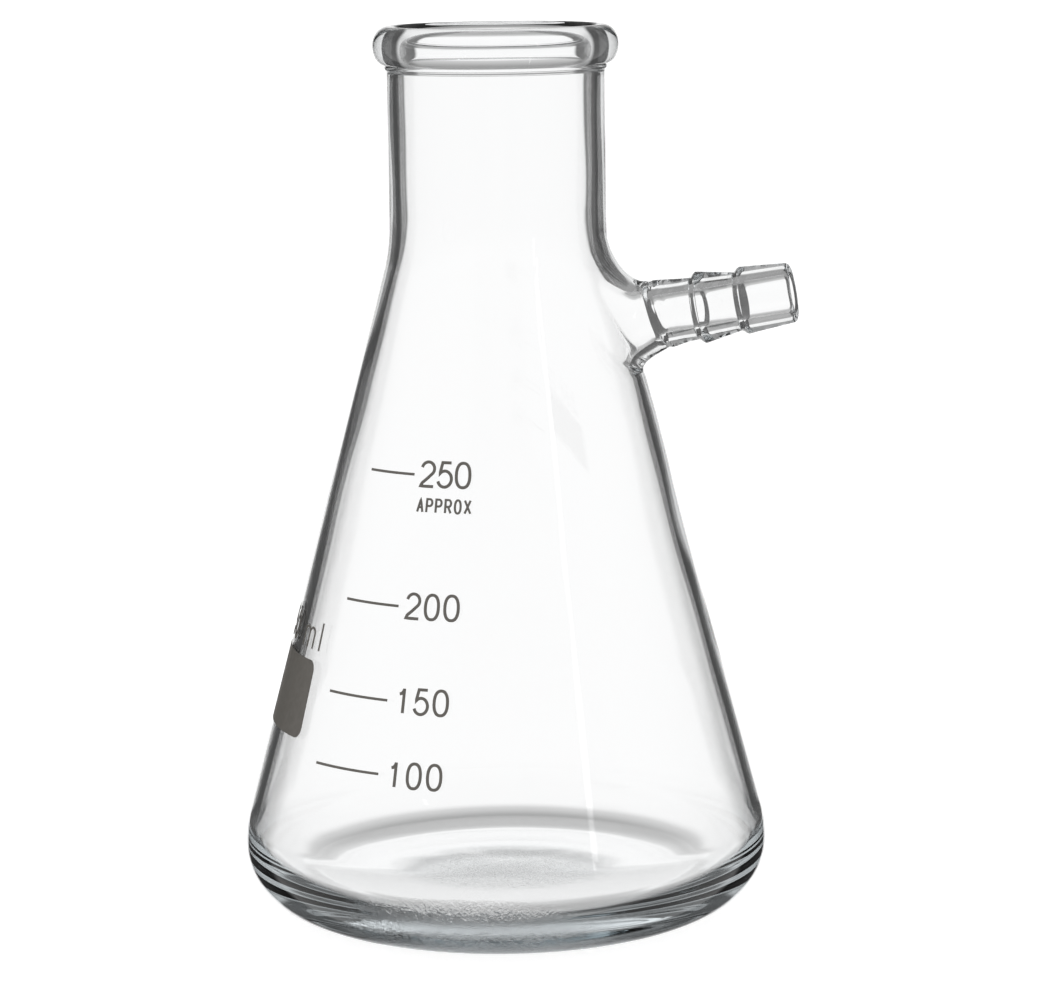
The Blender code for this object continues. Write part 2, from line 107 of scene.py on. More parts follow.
# Side arm
ARM_RISE = math.radians(9.7)
WELD_X = 26.7
WELD_Z = 101.75
WELD_RADIUS = 5.85
ARM_LENGTH = 23.3
ARM_WAIST_RADIUS = 5.25
ARM_BORE_RADIUS = 3.25
BARB_STEP_LENGTH = 1.3
BARBS = ((6.4, 6.05, 4.95), (13.7, 5.65, 5.05))
ARM_END_ROUNDING = 0.9
WELD_SHEAR = 0.85
SHEAR_FADE = 5.0
WELD_GROOVE = 0.16
GROOVE_LENGTH = 1.1
BOSS_REACH = 12.2  # from the arm's axis, level with it
BOSS_REACH_MORE = 2.8  # added above the arm and taken off below it
BOSS_FLARE = math.radians(20.0)
BOSS_WALL_HANDLE = (0.45, 0.5)  # shares of the fillet's reach: above and beside the arm, below it
BOSS_ARM_HANDLE = (0.42, 0.5)  # shares of the fillet's height: the same two places
BOSS_INNER_RADIUS = 4.35
BOSS_INNER_DEPTH = -1.5
BOSS_WALL_STEP = 1.1
WELD_SHOULDER = ((0.6, 3.25), (0.1, 3.4), (-0.35, 3.75), (-0.8, 4.15))
BORE_TO_SHOULDER = 0.5

# Mesh resolution
COLUMNS = 240
WINDOW_COLUMNS = 68
WINDOW_ROWS = 48
WINDOW_Z = (86.5, 119.5)
JUNCTION_RINGS = 6
FILLET_RINGS = 22
RING_SPACING = 1.6
HEEL_STEPS = 30
HEEL_BLEND_STEPS = 8
INNER_HEEL_STEPS = 24
COLLAR_STEPS = 10
BEAD_STEPS = 14
WAIST_RINGS = 32
BARB_RINGS = 10
ARM_SPACING = 0.8
ARM_END_STEPS = 20
BISECTIONS = 30
FARTHEST_OUT = 3.0  # past the weld, where the search for the wall ends
SLOPE_STEP = 0.1


def lerp(a, b, share):
    return a + (b - a) * share


def smooth(share):
    share = min(1.0, max(0.0, share))
    return share * share * (3 - 2 * share)


def arc(centre, radii, start, end, steps):
    """Points (r, z) along an elliptical arc; angles in degrees from +r towards +z."""
    points = []
    for i in range(steps + 1):
        angle = math.radians(lerp(start, end, i / steps))
        across = centre[0] + radii[0] * math.cos(angle)
        points.append((across, centre[1] + radii[1] * math.sin(angle)))
    return points


def straight(start, end, spacing=RING_SPACING):
    """Points after start, up to and including end."""
    steps = max(1, math.ceil(math.dist(start, end) / spacing))
    shares = [i / steps for i in range(1, steps + 1)]
    return [(lerp(start[0], end[0], share), lerp(start[1], end[1], share)) for share in shares]


def cone_radius(z, inset=0.0):
    """Radius of the cone at height z, measured this far inside its outer surface."""
    return CONE_GAUGE_RADIUS - (z - CONE_GAUGE_Z) * CONE_SLOPE - inset / math.cos(CONE_HALF_ANGLE)


def wall_radius(z, neck, inset, fillet):
    """Radius at height z of a straight cone that a hollow arc joins to a straight neck."""
    corner_z = CONE_GAUGE_Z + (cone_radius(CONE_GAUGE_Z, inset) - neck) / CONE_SLOPE
    top = corner_z + fillet * math.tan(CONE_HALF_ANGLE / 2)
    foot = top - fillet * math.sin(CONE_HALF_ANGLE)
    if z >= top:
        return neck
    if z <= foot:
        return cone_radius(z, inset)
    return neck + fillet - math.sqrt(fillet**2 - (top - z) ** 2)


def uneven(angle, z, seed, size):
    """Slow unevenness of blown glass, from -1 to 1."""
    x = math.cos(angle) * NOISE_RADIUS / size
    y = math.sin(angle) * NOISE_RADIUS / size
    return noise.noise(Vector((x, y, z / size * NOISE_STRETCH + seed)))


def pulled_out(angle, z):
    """The wall below the side arm stands out a little, where the boss was drawn from it."""
    turn = (angle + math.pi) % TURN - math.pi
    return PULL * math.exp(-((turn / PULL_HALF_TURN) ** 2) - ((z - PULL_Z) / PULL_HEIGHT) ** 2)


def outer_wall(angle, z):
    base = wall_radius(z, NECK_RADIUS, 0.0, SHOULDER_FILLET) + pulled_out(angle, z)
    fade = smooth((z - OUTER_FADE_Z) / OUTER_FADE_HEIGHT)
    return base + OUTER_UNEVEN * uneven(angle, z, OUTER_SEED, OUTER_GRAIN) * fade


def inner_wall(angle, z):
    base = wall_radius(z, NECK_RADIUS - NECK_WALL, CONE_WALL, SHOULDER_FILLET + NECK_WALL)
    base += pulled_out(angle, z)
    fade = lerp(INNER_FADE_LEAST, 1.0, smooth((z - INNER_FADE_Z) / INNER_FADE_HEIGHT))
    swell = INNER_UNEVEN * uneven(angle, z, INNER_SEED, INNER_GRAIN)
    return base + fade * (swell + RIPPLE * uneven(angle, z, RIPPLE_SEED, RIPPLE_GRAIN))


class Surface:
    """Vertices and faces gathered for one mesh, in millimetres."""

    def __init__(self):
        self.points, self.faces = [], []

    def add(self, point):
        self.points.append(tuple(point))
        return len(self.points) - 1

    def bridge(self, first, second, closed=True):
        count = len(first)
        for i in range(count if closed else count - 1):
            j = (i + 1) % count
            self.faces.append((first[i], first[j], second[j], second[i]))

    def cap(self, ring, centre):
        middle = self.add(centre)
        for i in range(len(ring)):
            self.faces.append((ring[i], ring[(i + 1) % len(ring)], middle))

    def mesh(self, name):
        made = bpy.data.meshes.new(name)
        made.from_pydata([(x * MM, y * MM, z * MM) for x, y, z in self.points], [], self.faces)
        made.validate()
        made.update()
        return made


def heel_profile():
    """The outside from near the axis on the underside, round the heel, up to the straight cone."""
    points = [(r, PUNT_RISE * (1 - (r / PUNT_RADIUS) ** 2) ** 2) for r in PUNT_RINGS]
    points += straight((PUNT_RADIUS, 0.0), (BASE_FLAT_RADIUS, 0.0))
    radii = (WIDEST_RADIUS - BASE_FLAT_RADIUS, WIDEST_Z)
    points += arc((BASE_FLAT_RADIUS, WIDEST_Z), radii, -90, 0, HEEL_STEPS)[1:]
    reach = cone_radius(WIDEST_Z) * math.cos(CONE_HALF_ANGLE)
    side = (reach - WIDEST_RADIUS * math.cos(CONE_HALF_ANGLE)) / (1 - math.cos(CONE_HALF_ANGLE))
    tilt = math.degrees(CONE_HALF_ANGLE)
    centre = (WIDEST_RADIUS - side, WIDEST_Z)
    points += arc(centre, (side, side), 0, tilt, HEEL_BLEND_STEPS)[1:]
    return points


def rim_profile():
    """Over the rim, from the outside of the neck to the inside."""
    radii = (COLLAR_PROUD, COLLAR_HEIGHT / 2)
    collar = arc((NECK_RADIUS, COLLAR_Z), radii, -80, 60, COLLAR_STEPS)
    bead_height = BEAD_WIDEST_Z - (COLLAR_Z + COLLAR_HEIGHT / 2)
    radii = (BEAD_RADIUS - BEAD_FOOT_RADIUS, bead_height)
    under = arc((BEAD_FOOT_RADIUS, BEAD_WIDEST_Z), radii, -80, 0, BEAD_STEPS)
    radii = (BEAD_RADIUS - CREST_OUTER_RADIUS, HEIGHT - BEAD_WIDEST_Z)
    over = arc((CREST_OUTER_RADIUS, BEAD_WIDEST_Z), radii, 0, 90, BEAD_STEPS)
    radii = (CREST_INNER_RADIUS - MOUTH_RADIUS, HEIGHT - MOUTH_Z)
    inside = arc((CREST_INNER_RADIUS, MOUTH_Z), radii, 90, 180, BEAD_STEPS)
    return collar + under + over[1:] + inside


def floor_profile():
    """The inside heel and floor, from the side wall down to near the axis."""
    tilt = CONE_HALF_ANGLE
    centre_z = FLOOR_THICKNESS + INNER_HEEL_RADIUS
    centre_r = cone_radius(centre_z + INNER_HEEL_RADIUS * math.sin(tilt), CONE_WALL)
    centre_r -= INNER_HEEL_RADIUS * math.cos(tilt)
    radii = (INNER_HEEL_RADIUS, INNER_HEEL_RADIUS)
    points = arc((centre_r, centre_z), radii, math.degrees(tilt), -90, INNER_HEEL_STEPS)
    for r, _ in straight((centre_r, 0.0), (AXIS_RING, 0.0)):
        points.append((r, FLOOR_THICKNESS + FLOOR_SWELL * smooth(1 - r / centre_r)))
    return points


def arm_axes():
    """Where the weld is, and the directions along the arm, sideways and up."""
    along = Vector((math.cos(ARM_RISE), 0, math.sin(ARM_RISE)))
    side = Vector((0, 1, 0))
    return Vector((WELD_X, 0, WELD_Z)), along, side, along.cross(side)


def arm_point(reach, angle, distance):
    """A point this far from the arm's axis and this far along it; angle 90 degrees is the top."""
    centre, along, side, up = arm_axes()
    return centre + along * distance + (side * math.cos(angle) + up * math.sin(angle)) * reach


def depth_on_wall(wall, reach, angle):
    """How far along the arm's axis the line at this reach and angle meets the wall."""
    low, high = -WELD_X, FARTHEST_OUT
    for _ in range(BISECTIONS):
        middle = (low + high) / 2
        point = arm_point(reach, angle, middle)
        if math.hypot(point.x, point.y) < wall(math.atan2(point.y, point.x), point.z):
            low = middle
        else:
            high = middle
    return (low + high) / 2


def boss_reach(angle):
    """How far from the arm's axis the wall starts to bend out: farthest above, nearest below."""
    return BOSS_REACH + BOSS_REACH_MORE * math.sin(angle)


def underside(angle):
    """1 along the bottom of the arm, falling smoothly to 0 at its sides and top."""
    return smooth(-math.sin(angle))


def weld_shear(angle, distance=0.0):
    """The weld leans back at the top; the arm's rings straighten up beyond it."""
    return -WELD_SHEAR * math.sin(angle) * smooth(1 - distance / SHEAR_FADE)


def fillet_curve(wall, angle, reach, end_reach, end_depth):
    """The four points, as (reach, depth), of the curve from the wall into the arm at this angle."""
    start = depth_on_wall(wall, reach, angle)
    slope = (start - depth_on_wall(wall, reach + SLOPE_STEP, angle)) / SLOPE_STEP
    below = underside(angle)
    inward = lerp(*BOSS_WALL_HANDLE, below) * (reach - end_reach)
    end = end_depth + weld_shear(angle)
    back = lerp(*BOSS_ARM_HANDLE, below) * (end - start - slope * (reach - end_reach))
    flare = BOSS_FLARE * below
    return (
        (reach, start),
        (reach - inward, start + slope * inward),
        (end_reach + back * math.sin(flare), end - back * math.cos(flare)),
        (end_reach, end),
    )


def junction(surface, wall, edge, reach_step, end_reach, end_depth):
    """From the window's edge along the wall, then a fillet that turns into the arm's direction."""
    centre, _, side, up = arm_axes()
    angles, reaches = [], []
    for index in edge:
        offset = Vector(surface.points[index]) - centre
        angles.append(math.atan2(offset.dot(up), offset.dot(side)))
        reaches.append(math.hypot(offset.dot(up), offset.dot(side)))
    bends = [boss_reach(angle) - reach_step for angle in angles]
    previous = edge
    for ring in range(1, JUNCTION_RINGS + 1):
        current = []
        for angle, outer, bend in zip(angles, reaches, bends):
            here = lerp(outer, bend, ring / JUNCTION_RINGS)
            current.append(surface.add(arm_point(here, angle, depth_on_wall(wall, here, angle))))
        surface.bridge(previous, current)
        previous = current
    curves = [fillet_curve(wall, a, bend, end_reach, end_depth) for a, bend in zip(angles, bends)]
    for ring in range(1, FILLET_RINGS + 1):
        t = ring / FILLET_RINGS
        weights = ((1 - t) ** 3, 3 * t * (1 - t) ** 2, 3 * t * t * (1 - t), t**3)
        current = []
        for angle, curve in zip(angles, curves):
            here = sum(w * point[0] for w, point in zip(weights, curve))
            depth = sum(w * point[1] for w, point in zip(weights, curve))
            current.append(surface.add(arm_point(here, angle, depth)))
        surface.bridge(previous, current)
        previous = current
    return previous, angles


def arm_outline():
    """The arm as (distance, radius), from the weld along the outside, then back along the bore."""
    points = []
    first_step = BARBS[0][0]
    for i in range(1, WAIST_RINGS + 1):
        share = i / WAIST_RINGS
        fall = (1 - math.cos(math.pi * share)) / 2
        into_groove = min(1.0, first_step * share / GROOVE_LENGTH)
        groove = WELD_GROOVE * max(0.0, math.sin(math.pi * into_groove))
        points.append((first_step * share, lerp(WELD_RADIUS, ARM_WAIST_RADIUS, fall) - groove))
    lip = ARM_LENGTH - ARM_END_ROUNDING
    ends = [step for step, _, _ in BARBS[1:]] + [lip]
    for (step, shoulder, tail), end in zip(BARBS, ends):
        foot = points[-1][1]
        for i in range(1, BARB_RINGS + 1):
            share = i / BARB_RINGS
            points.append((step + BARB_STEP_LENGTH * share, lerp(foot, shoulder, smooth(share))))
        points += straight(points[-1], (end, tail), ARM_SPACING)
    tail = BARBS[-1][2]
    wall = (tail - ARM_BORE_RADIUS) / 2
    points += arc((lip, tail - wall), (ARM_END_ROUNDING, wall), 90, -90, ARM_END_STEPS)[1:]
    bore_end = (WELD_SHOULDER[0][0] + BORE_TO_SHOULDER, ARM_BORE_RADIUS)
    points += straight(points[-1], bore_end, ARM_SPACING)
    return points + list(WELD_SHOULDER)


def window_edge(rings):
    """The vertices round the window, in order, from the rings at its rows."""
    half = WINDOW_COLUMNS // 2
    across = range(-half, half + 1)
    bottom = [rings[0][i] for i in across]
    right = [ring[half] for ring in rings[1:-1]]
    top = [rings[-1][i] for i in reversed(across)]
    left = [ring[-half] for ring in reversed(rings[1:-1])]
    return bottom + right + top + left


def body_rings(surface):
    """All rings of the body in order, from the underside over the rim to the inside floor.

    Those at the window's rows, outside and inside, are given again on their own.
    """
    angles = [TURN * i / COLUMNS for i in range(COLUMNS)]
    low, high = WINDOW_Z
    rows = [lerp(low, high, i / WINDOW_ROWS) for i in range(WINDOW_ROWS + 1)]

    def ring(radius_at, z_at):
        made = []
        for angle in angles:
            radius = radius_at(angle)
            point = (radius * math.cos(angle), radius * math.sin(angle), z_at(angle))
            made.append(surface.add(point))
        return made

    def walls(wall, heights):
        return [ring(lambda a, z=z: wall(a, z), lambda a, z=z: z) for z in heights]

    def between(start, end):
        return [z for z, _ in straight((start, 0), (end, 0))]

    def outer_ring(r, z, amount):
        """A ring off the straight walls; its unevenness fades towards the axis."""
        fade = smooth(r / AXIS_FADE_RADIUS) if z < AXIS_FADE_TOP else 1.0
        return ring(
            lambda a: r + amount * fade * uneven(a, z, OUTER_SEED, OUTER_GRAIN),
            lambda a: z,
        )

    def floor_ring(r, z):
        fade = smooth(r / AXIS_FADE_RADIUS)

        def height(a):
            x, y = r * math.cos(a), r * math.sin(a)
            dimple = sum(
                rise * noise.noise(Vector((x / grain, y / grain, seed)))
                for rise, grain, seed in DIMPLES
            )
            return z + (1 - fade) * dimple

        def radius(a):
            return r + fade * FLOOR_UNEVEN * uneven(a, z, INNER_SEED, INNER_GRAIN)

        return ring(radius, height)

    heel = heel_profile()
    outside_low = [outer_ring(r, z, OUTER_UNEVEN) for r, z in heel]
    outside_low += walls(outer_wall, between(heel[-1][1], low)[:-1])
    outside_window = walls(outer_wall, rows)
    neck_top = COLLAR_Z - COLLAR_HEIGHT / 2 - NECK_TO_COLLAR
    outside_neck = walls(outer_wall, between(high, neck_top))
    rim = [outer_ring(r, z, RIM_UNEVEN) for r, z in rim_profile()]
    inside_neck = walls(inner_wall, between(MOUTH_Z - MOUTH_TO_NECK, high)[:-1])
    inside_window = walls(inner_wall, rows[::-1])
    floor = floor_profile()
    inside_low = walls(inner_wall, between(low, floor[0][1])[:-1])
    inside_floor = [floor_ring(r, z) for r, z in floor]
    outside = outside_low + outside_window + outside_neck + rim
    chain = outside + inside_neck + inside_window + inside_low + inside_floor
    return chain, outside_window, inside_window


def glass_mesh():
    """The body with a window cut through both walls, and the arm joined to the window's edges."""
    surface = Surface()
    chain, outside_window, inside_window = body_rings(surface)
    half = WINDOW_COLUMNS // 2
    windowed = {id(ring) for rings in (outside_window, inside_window) for ring in rings[:-1]}
    for first, second in zip(chain, chain[1:]):
        for i in range(COLUMNS):
            if id(first) in windowed and (i < half or i >= COLUMNS - half):
                continue
            j = (i + 1) % COLUMNS
            surface.faces.append((first[i], first[j], second[j], second[i]))
    surface.cap(chain[0], (0, 0, PUNT_RISE))
    surface.cap(chain[-1], (0, 0, FLOOR_THICKNESS + FLOOR_SWELL))

    edge = window_edge(outside_window)
    previous, outer_angles = junction(surface, outer_wall, edge, 0.0, WELD_RADIUS, 0.0)
    edge = window_edge(inside_window[::-1])
    inner_ring, inner_angles = junction(
        surface, inner_wall, edge, BOSS_WALL_STEP, BOSS_INNER_RADIUS, BOSS_INNER_DEPTH
    )
    outline = arm_outline()
    for i, (distance, radius) in enumerate(outline):
        share = i / (len(outline) - 1)
        current = []
        for a_outer, a_inner in zip(outer_angles, inner_angles):
            turn = (a_inner - a_outer + math.pi) % TURN - math.pi
            angle = a_outer + turn * share
            along = distance + weld_shear(angle, distance)
            current.append(surface.add(arm_point(radius, angle, along)))
        surface.bridge(previous, current)
        previous = current
    surface.bridge(previous, inner_ring)
    return surface.mesh("flask_glass")


# ---------------------------------------------------------------- materials

GLASS_INDEX = 1.474
GLASS_TINT = (0.66, 0.75, 0.79, 1.0)
GLASS_TINT_DENSITY = 9.0
CORD_SCALE = 70.0
CORD_STRETCH = (1.0, 1.0, 0.25)
SCRATCH_SCALE = 900.0
SCRATCHED_AT = (-0.5, -41.5, 5.0)
SCRATCHED_EXTENT = (26.0, 12.0, 8.0)
RUBBED_EXTENT = (24.0, 24.0, 4.0)
RUBBED_ROUGHNESS = 0.5
PATCH_CORE = 0.5  # share of a patch's extent at full strength
ENAMEL_ROUGHNESS = 0.45
ENAMEL_GRAIN = 900.0
ENAMEL_DARK = (0.125, 0.115, 0.10, 1)
ENAMEL_LIGHT = (0.185, 0.172, 0.155, 1)


def new_material(name):
    made = bpy.data.materials.new(name)
    made.use_nodes = True
    return made, made.node_tree, made.node_tree.nodes["Principled BSDF"]


def math_node(tree, operation, *values):
    node = tree.nodes.new("ShaderNodeMath")
    node.operation = operation
    for socket, value in zip(node.inputs, values):
        if isinstance(value, (int, float)):
            socket.default_value = value
        else:
            tree.links.new(value, socket)
    return node.outputs["Value"]


def noise_node(tree, vector, scale, detail, distortion=0.0):
    node = tree.nodes.new("ShaderNodeTexNoise")
    node.inputs["Scale"].default_value = scale
    node.inputs["Detail"].default_value = detail
    node.inputs["Distortion"].default_value = distortion
    tree.links.new(vector, node.inputs["Vector"])
    return node.outputs["Fac"]


def bump_node(tree, height, strength, distance):
    node = tree.nodes.new("ShaderNodeBump")
    node.inputs["Strength"].default_value = strength
    node.inputs["Distance"].default_value = distance
    tree.links.new(height, node.inputs["Height"])
    return node


def patch(tree, place, centre, extent):
    """1 round the centre of an ellipsoid, falling smoothly to 0 at its surface."""
    vector = place
    for operation, value in (("SUBTRACT", centre), ("DIVIDE", extent)):
        node = tree.nodes.new("ShaderNodeVectorMath")
        node.operation = operation
        tree.links.new(vector, node.inputs[0])
        node.inputs[1].default_value = [v * MM for v in value]
        vector = node.outputs["Vector"]
    length = tree.nodes.new("ShaderNodeVectorMath")
    length.operation = "LENGTH"
    tree.links.new(vector, length.inputs[0])
    falloff = tree.nodes.new("ShaderNodeMapRange")
    falloff.interpolation_type = "SMOOTHSTEP"
    tree.links.new(length.outputs["Value"], falloff.inputs["Value"])
    falloff.inputs["From Min"].default_value = 1.0
    falloff.inputs["From Max"].default_value = PATCH_CORE
    return falloff.outputs["Result"]


def glass_material():
    """Clear glass with faint cords, a scratched front of the heel and a rubbed underside."""
    made, tree, shader = new_material("clear_glass_looks")
    shader.inputs["Base Color"].default_value = (1.0, 1.0, 1.0, 1.0)
    shader.inputs["IOR"].default_value = GLASS_INDEX
    shader.inputs["Transmission Weight"].default_value = 1.0
    place = tree.nodes.new("ShaderNodeTexCoord").outputs["Object"]
    stretch = tree.nodes.new("ShaderNodeMapping")
    stretch.inputs["Scale"].default_value = CORD_STRETCH
    tree.links.new(place, stretch.inputs["Vector"])
    cords = noise_node(tree, stretch.outputs["Vector"], CORD_SCALE, 1.0)
    cord_bump = bump_node(tree, cords, 0.25, 0.0001)

    scratches = noise_node(tree, place, SCRATCH_SCALE, 2.0, 1.5)
    scratched = patch(tree, place, SCRATCHED_AT, SCRATCHED_EXTENT)
    scratch_height = math_node(tree, "MULTIPLY", scratches, scratched)
    scratch_bump = bump_node(tree, scratch_height, 0.6, 0.0002)
    tree.links.new(cord_bump.outputs["Normal"], scratch_bump.inputs["Normal"])
    tree.links.new(scratch_bump.outputs["Normal"], shader.inputs["Normal"])
    rubbed = math_node(tree, "MULTIPLY", scratches, patch(tree, place, (0, 0, 0), RUBBED_EXTENT))
    roughness = math_node(tree, "MULTIPLY", rubbed, RUBBED_ROUGHNESS)
    tree.links.new(roughness, shader.inputs["Roughness"])

    tint = tree.nodes.new("ShaderNodeVolumeAbsorption")
    tint.inputs["Color"].default_value = GLASS_TINT
    tint.inputs["Density"].default_value = GLASS_TINT_DENSITY
    tree.links.new(tint.outputs["Volume"], tree.nodes["Material Output"].inputs["Volume"])
    return made


def enamel_material():
    """Grey enamel, slightly mottled."""
    made, tree, shader = new_material("grey_enamel_looks")
    shader.inputs["Roughness"].default_value = ENAMEL_ROUGHNESS
    place = tree.nodes.new("ShaderNodeTexCoord").outputs["Object"]
    mottle = noise_node(tree, place, ENAMEL_GRAIN, 3.0)
    ramp = tree.nodes.new("ShaderNodeValToRGB")
    ramp.color_ramp.elements[0].color = ENAMEL_DARK
    ramp.color_ramp.elements[1].color = ENAMEL_LIGHT
    tree.links.new(mottle, ramp.inputs["Fac"])
    tree.links.new(ramp.outputs["Color"], shader.inputs["Base Color"])
    return made


# ---------------------------------------------------------------- enamel

READING_SIDE = math.radians(-80.0)
# Angles below are in degrees from the reading side, growing to its right
ENAMEL_UNDER = -0.05
ENAMEL_OVER = 0.07
LINE_WIDTH = 0.42
LINE_FROM, LINE_TO = -50.6, -30.9
LINE_COLUMNS = 40
# label: height of the line, pitch of the digits
GRADUATIONS = {"250": (78.3, 3.05), "200": (57.4, 3.35), "150": (42.5, 3.35), "100": (30.9, 3.5)}
TEXT_FROM = -28.6
DIGIT_HEIGHT = 4.5
DIGIT_WIDTH = 2.75
DIGIT_STROKE = 0.5
DIGIT_ONE_WIDTH = 1.3
DIGIT_ONE_INSET = 0.5
DIGIT_DROP = 2.0
WORD = "APPROX"
WORD_Z = 72.3
WORD_HEIGHT = 2.5
WORD_WIDTH = 1.3
WORD_PITCH = 1.65
WORD_STROKE = 0.36
SPOT_FROM, SPOT_TO = -100.0, -60.0
SPOT_Z = (33.5, 46.25)
SPOT_CORNER = 1.8
SPOT_COLUMNS = 72
SPOT_ROWS = 12
CAPACITY_Z = 47.8
CAPACITY_HEIGHT = 5.1
CAPACITY_FROM = -95.5
CAPACITY_PITCH = 3.9
CAPACITY_DIGIT_WIDTH = 3.0
CAPACITY_STROKE = 0.42
# letter: start, width, height
CAPACITY_LETTERS = {"m": (-70.7, 4.6, 3.8), "l": (-59.9, 0.45, CAPACITY_HEIGHT)}
MITRE_LIMIT = 1.5
COINCIDENT = 1e-9
STROKE_SPACING = 0.5


def on_glass(angle, z, lift):
    """A point over the body's outside: angle in radians from the reading side."""
    polar = READING_SIDE + angle
    radius = outer_wall(polar, z) + lift * math.cos(CONE_HALF_ANGLE)
    height = z + lift * math.sin(CONE_HALF_ANGLE)
    return (radius * math.cos(polar), radius * math.sin(polar), height)


def oval(width, height, steps=40, squareness=0.85):
    """A closed loop in a box from the origin, a little squarer than an ellipse."""
    points = []
    for i in range(steps):
        angle = TURN * i / steps
        across = math.copysign(abs(math.cos(angle)) ** squareness, math.cos(angle))
        up = math.copysign(abs(math.sin(angle)) ** squareness, math.sin(angle))
        points.append((width / 2 * (1 + across), height / 2 * (1 + up)))
    return points


def strokes_of(character, w, h):
    """The centre lines of a character in a box w by h, each with whether it closes on itself."""
    if character in "0O":
        return [(oval(w, h), True)]
    if character == "1":
        flag = [(0.0, h * 0.77), (w * 0.4, h * 0.79), (w * 0.75, h * 0.86), (w * 0.96, h * 0.97)]
        return [([(w, 0), (w, h)], False), (flag, False)]
    if character == "2":
        hook = w / 2
        bow = arc((hook, h - hook), (hook, hook), 170, -38, 18)
        return [(bow + [(w * 0.45, h * 0.30), (w * 0.12, h * 0.14), (0.0, 0.0), (w, 0.0)], False)]
    if character == "5":
        flag = [(w * 0.93, h), (w * 0.26, h), (w * 0.08, h * 0.50)]
        return [(flag + arc((w * 0.48, h * 0.33), (w * 0.52, h * 0.33), 128, -162, 22), False)]
    if character == "A":
        bar = [(w * 0.2, h * 0.35), (w * 0.8, h * 0.35)]
        return [([(0, 0), (w / 2, h), (w, 0)], False), (bar, False)]
    if character in "PR":
        bowl = arc((w * 0.55, h * 0.74), (w * 0.45, h * 0.26), 90, -90, 12)
        lines = [([(0, 0), (0, h)] + bowl + [(0, h * 0.48)], False)]
        if character == "R":
            lines.append(([(w * 0.5, h * 0.48), (w, 0)], False))
        return lines
    if character == "X":
        return [([(0, 0), (w, h)], False), ([(0, h), (w, 0)], False)]
    if character == "m":
        lines = [([(0, 0), (0, h)], False)]
        for start in (0.0, 0.5):
            hump = arc((w * (start + 0.25), h * 0.72), (w * 0.25, h * 0.28), 180, 0, 12)
            lines.append((hump + [(w * (start + 0.5), 0)], False))
        return lines
    return [([(0, 0), (0, h)], False)]


def stroke_sides(path, width, closed):
    """Both sides of a stroke of this width along the path, mitred at its corners."""
    left, right = [], []
    count = len(path)
    for i, here in enumerate(path):
        before = path[i - 1] if i or closed else None
        after = path[(i + 1) % count] if i < count - 1 or closed else None
        headings = []
        for start, end in ((before, here), (here, after)):
            if start and end and math.dist(start, end) > COINCIDENT:
                length = math.dist(start, end)
                headings.append(((end[0] - start[0]) / length, (end[1] - start[1]) / length))
        sum_x = sum(h[0] for h in headings)
        sum_y = sum(h[1] for h in headings)
        length = math.hypot(sum_x, sum_y)
        half = width / 2 * min(MITRE_LIMIT, len(headings) / length)
        normal = (-sum_y / length * half, sum_x / length * half)
        left.append((here[0] + normal[0], here[1] + normal[1]))
        right.append((here[0] - normal[0], here[1] - normal[1]))
    return left, right


def dense(path, closed):
    """The path with extra points, so that a stroke follows the curved glass."""
    points = [path[0]]
    ends = path[1:] + ([path[0]] if closed else [])
    for end in ends:
        points += straight(points[-1], end, STROKE_SPACING)
    return points[:-1] if closed else points


def print_character(surface, character, width, height, stroke, angle, z):
    """One printed character with its upright strokes along the cone's slant."""
    radius = cone_radius(z + height / 2)
    inset = stroke / 2
    for path, closed in strokes_of(character, width - stroke, height - stroke):
        path = dense([(x + inset, y + inset) for x, y in path], closed)
        corners = []
        for side in stroke_sides(path, stroke, closed):
            spots = [(angle + x / radius, z + y * math.cos(CONE_HALF_ANGLE)) for x, y in side]
            for lift in (ENAMEL_UNDER, ENAMEL_OVER):
                corners.append([surface.add(on_glass(turn, up, lift)) for turn, up in spots])
        left_under, left_over, right_under, right_over = corners
        loop = (left_under, left_over, right_over, right_under)
        for first, second in zip(loop, loop[1:] + loop[:1]):
            surface.bridge(first, second, closed)
        if not closed:
            for end in (0, -1):
                surface.faces.append(tuple(corner[end] for corner in loop))


def print_patch(surface, edges, columns, rows):
    """A thin patch between edges(share) = (angle, low, high)."""
    rims = []
    for lift in (ENAMEL_UNDER, ENAMEL_OVER):
        grid = []
        for i in range(columns + 1):
            angle, low, high = edges(i / columns)
            heights = [lerp(low, high, j / rows) for j in range(rows + 1)]
            grid.append([surface.add(on_glass(angle, height, lift)) for height in heights])
        for a, b in zip(grid, grid[1:]):
            surface.bridge(a, b, closed=False)
        bottom = [column[0] for column in grid]
        top = [column[-1] for column in grid[-2::-1]]
        rims.append(bottom + grid[-1][1:] + top + grid[0][-2:0:-1])
    surface.bridge(*rims)


def turn_faces_out(mesh):
    shape = bmesh.new()
    shape.from_mesh(mesh)
    bmesh.ops.recalc_face_normals(shape, faces=shape.faces)
    shape.to_mesh(mesh)
    shape.free()


def piece(name, mesh, finish, nodes):
    turn_faces_out(mesh)
    mesh.materials.append(finish)
    obj = bpy.data.objects.new(name, mesh)
    bpy.context.scene.collection.objects.link(obj)
    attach(obj, "root")
    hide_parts(*nodes)
    return obj


def build_flask():
    glass = glass_material()
    mesh = glass_mesh()
    mesh.shade_smooth()
    piece("flask_glass", mesh, glass, ("flask_body", "side_arm"))


def graduation_line(height):
    surface = Surface()

    def edges(share):
        angle = math.radians(lerp(LINE_FROM, LINE_TO, share))
        return angle, height - LINE_WIDTH / 2, height + LINE_WIDTH / 2

    print_patch(surface, edges, LINE_COLUMNS, 1)
    return surface


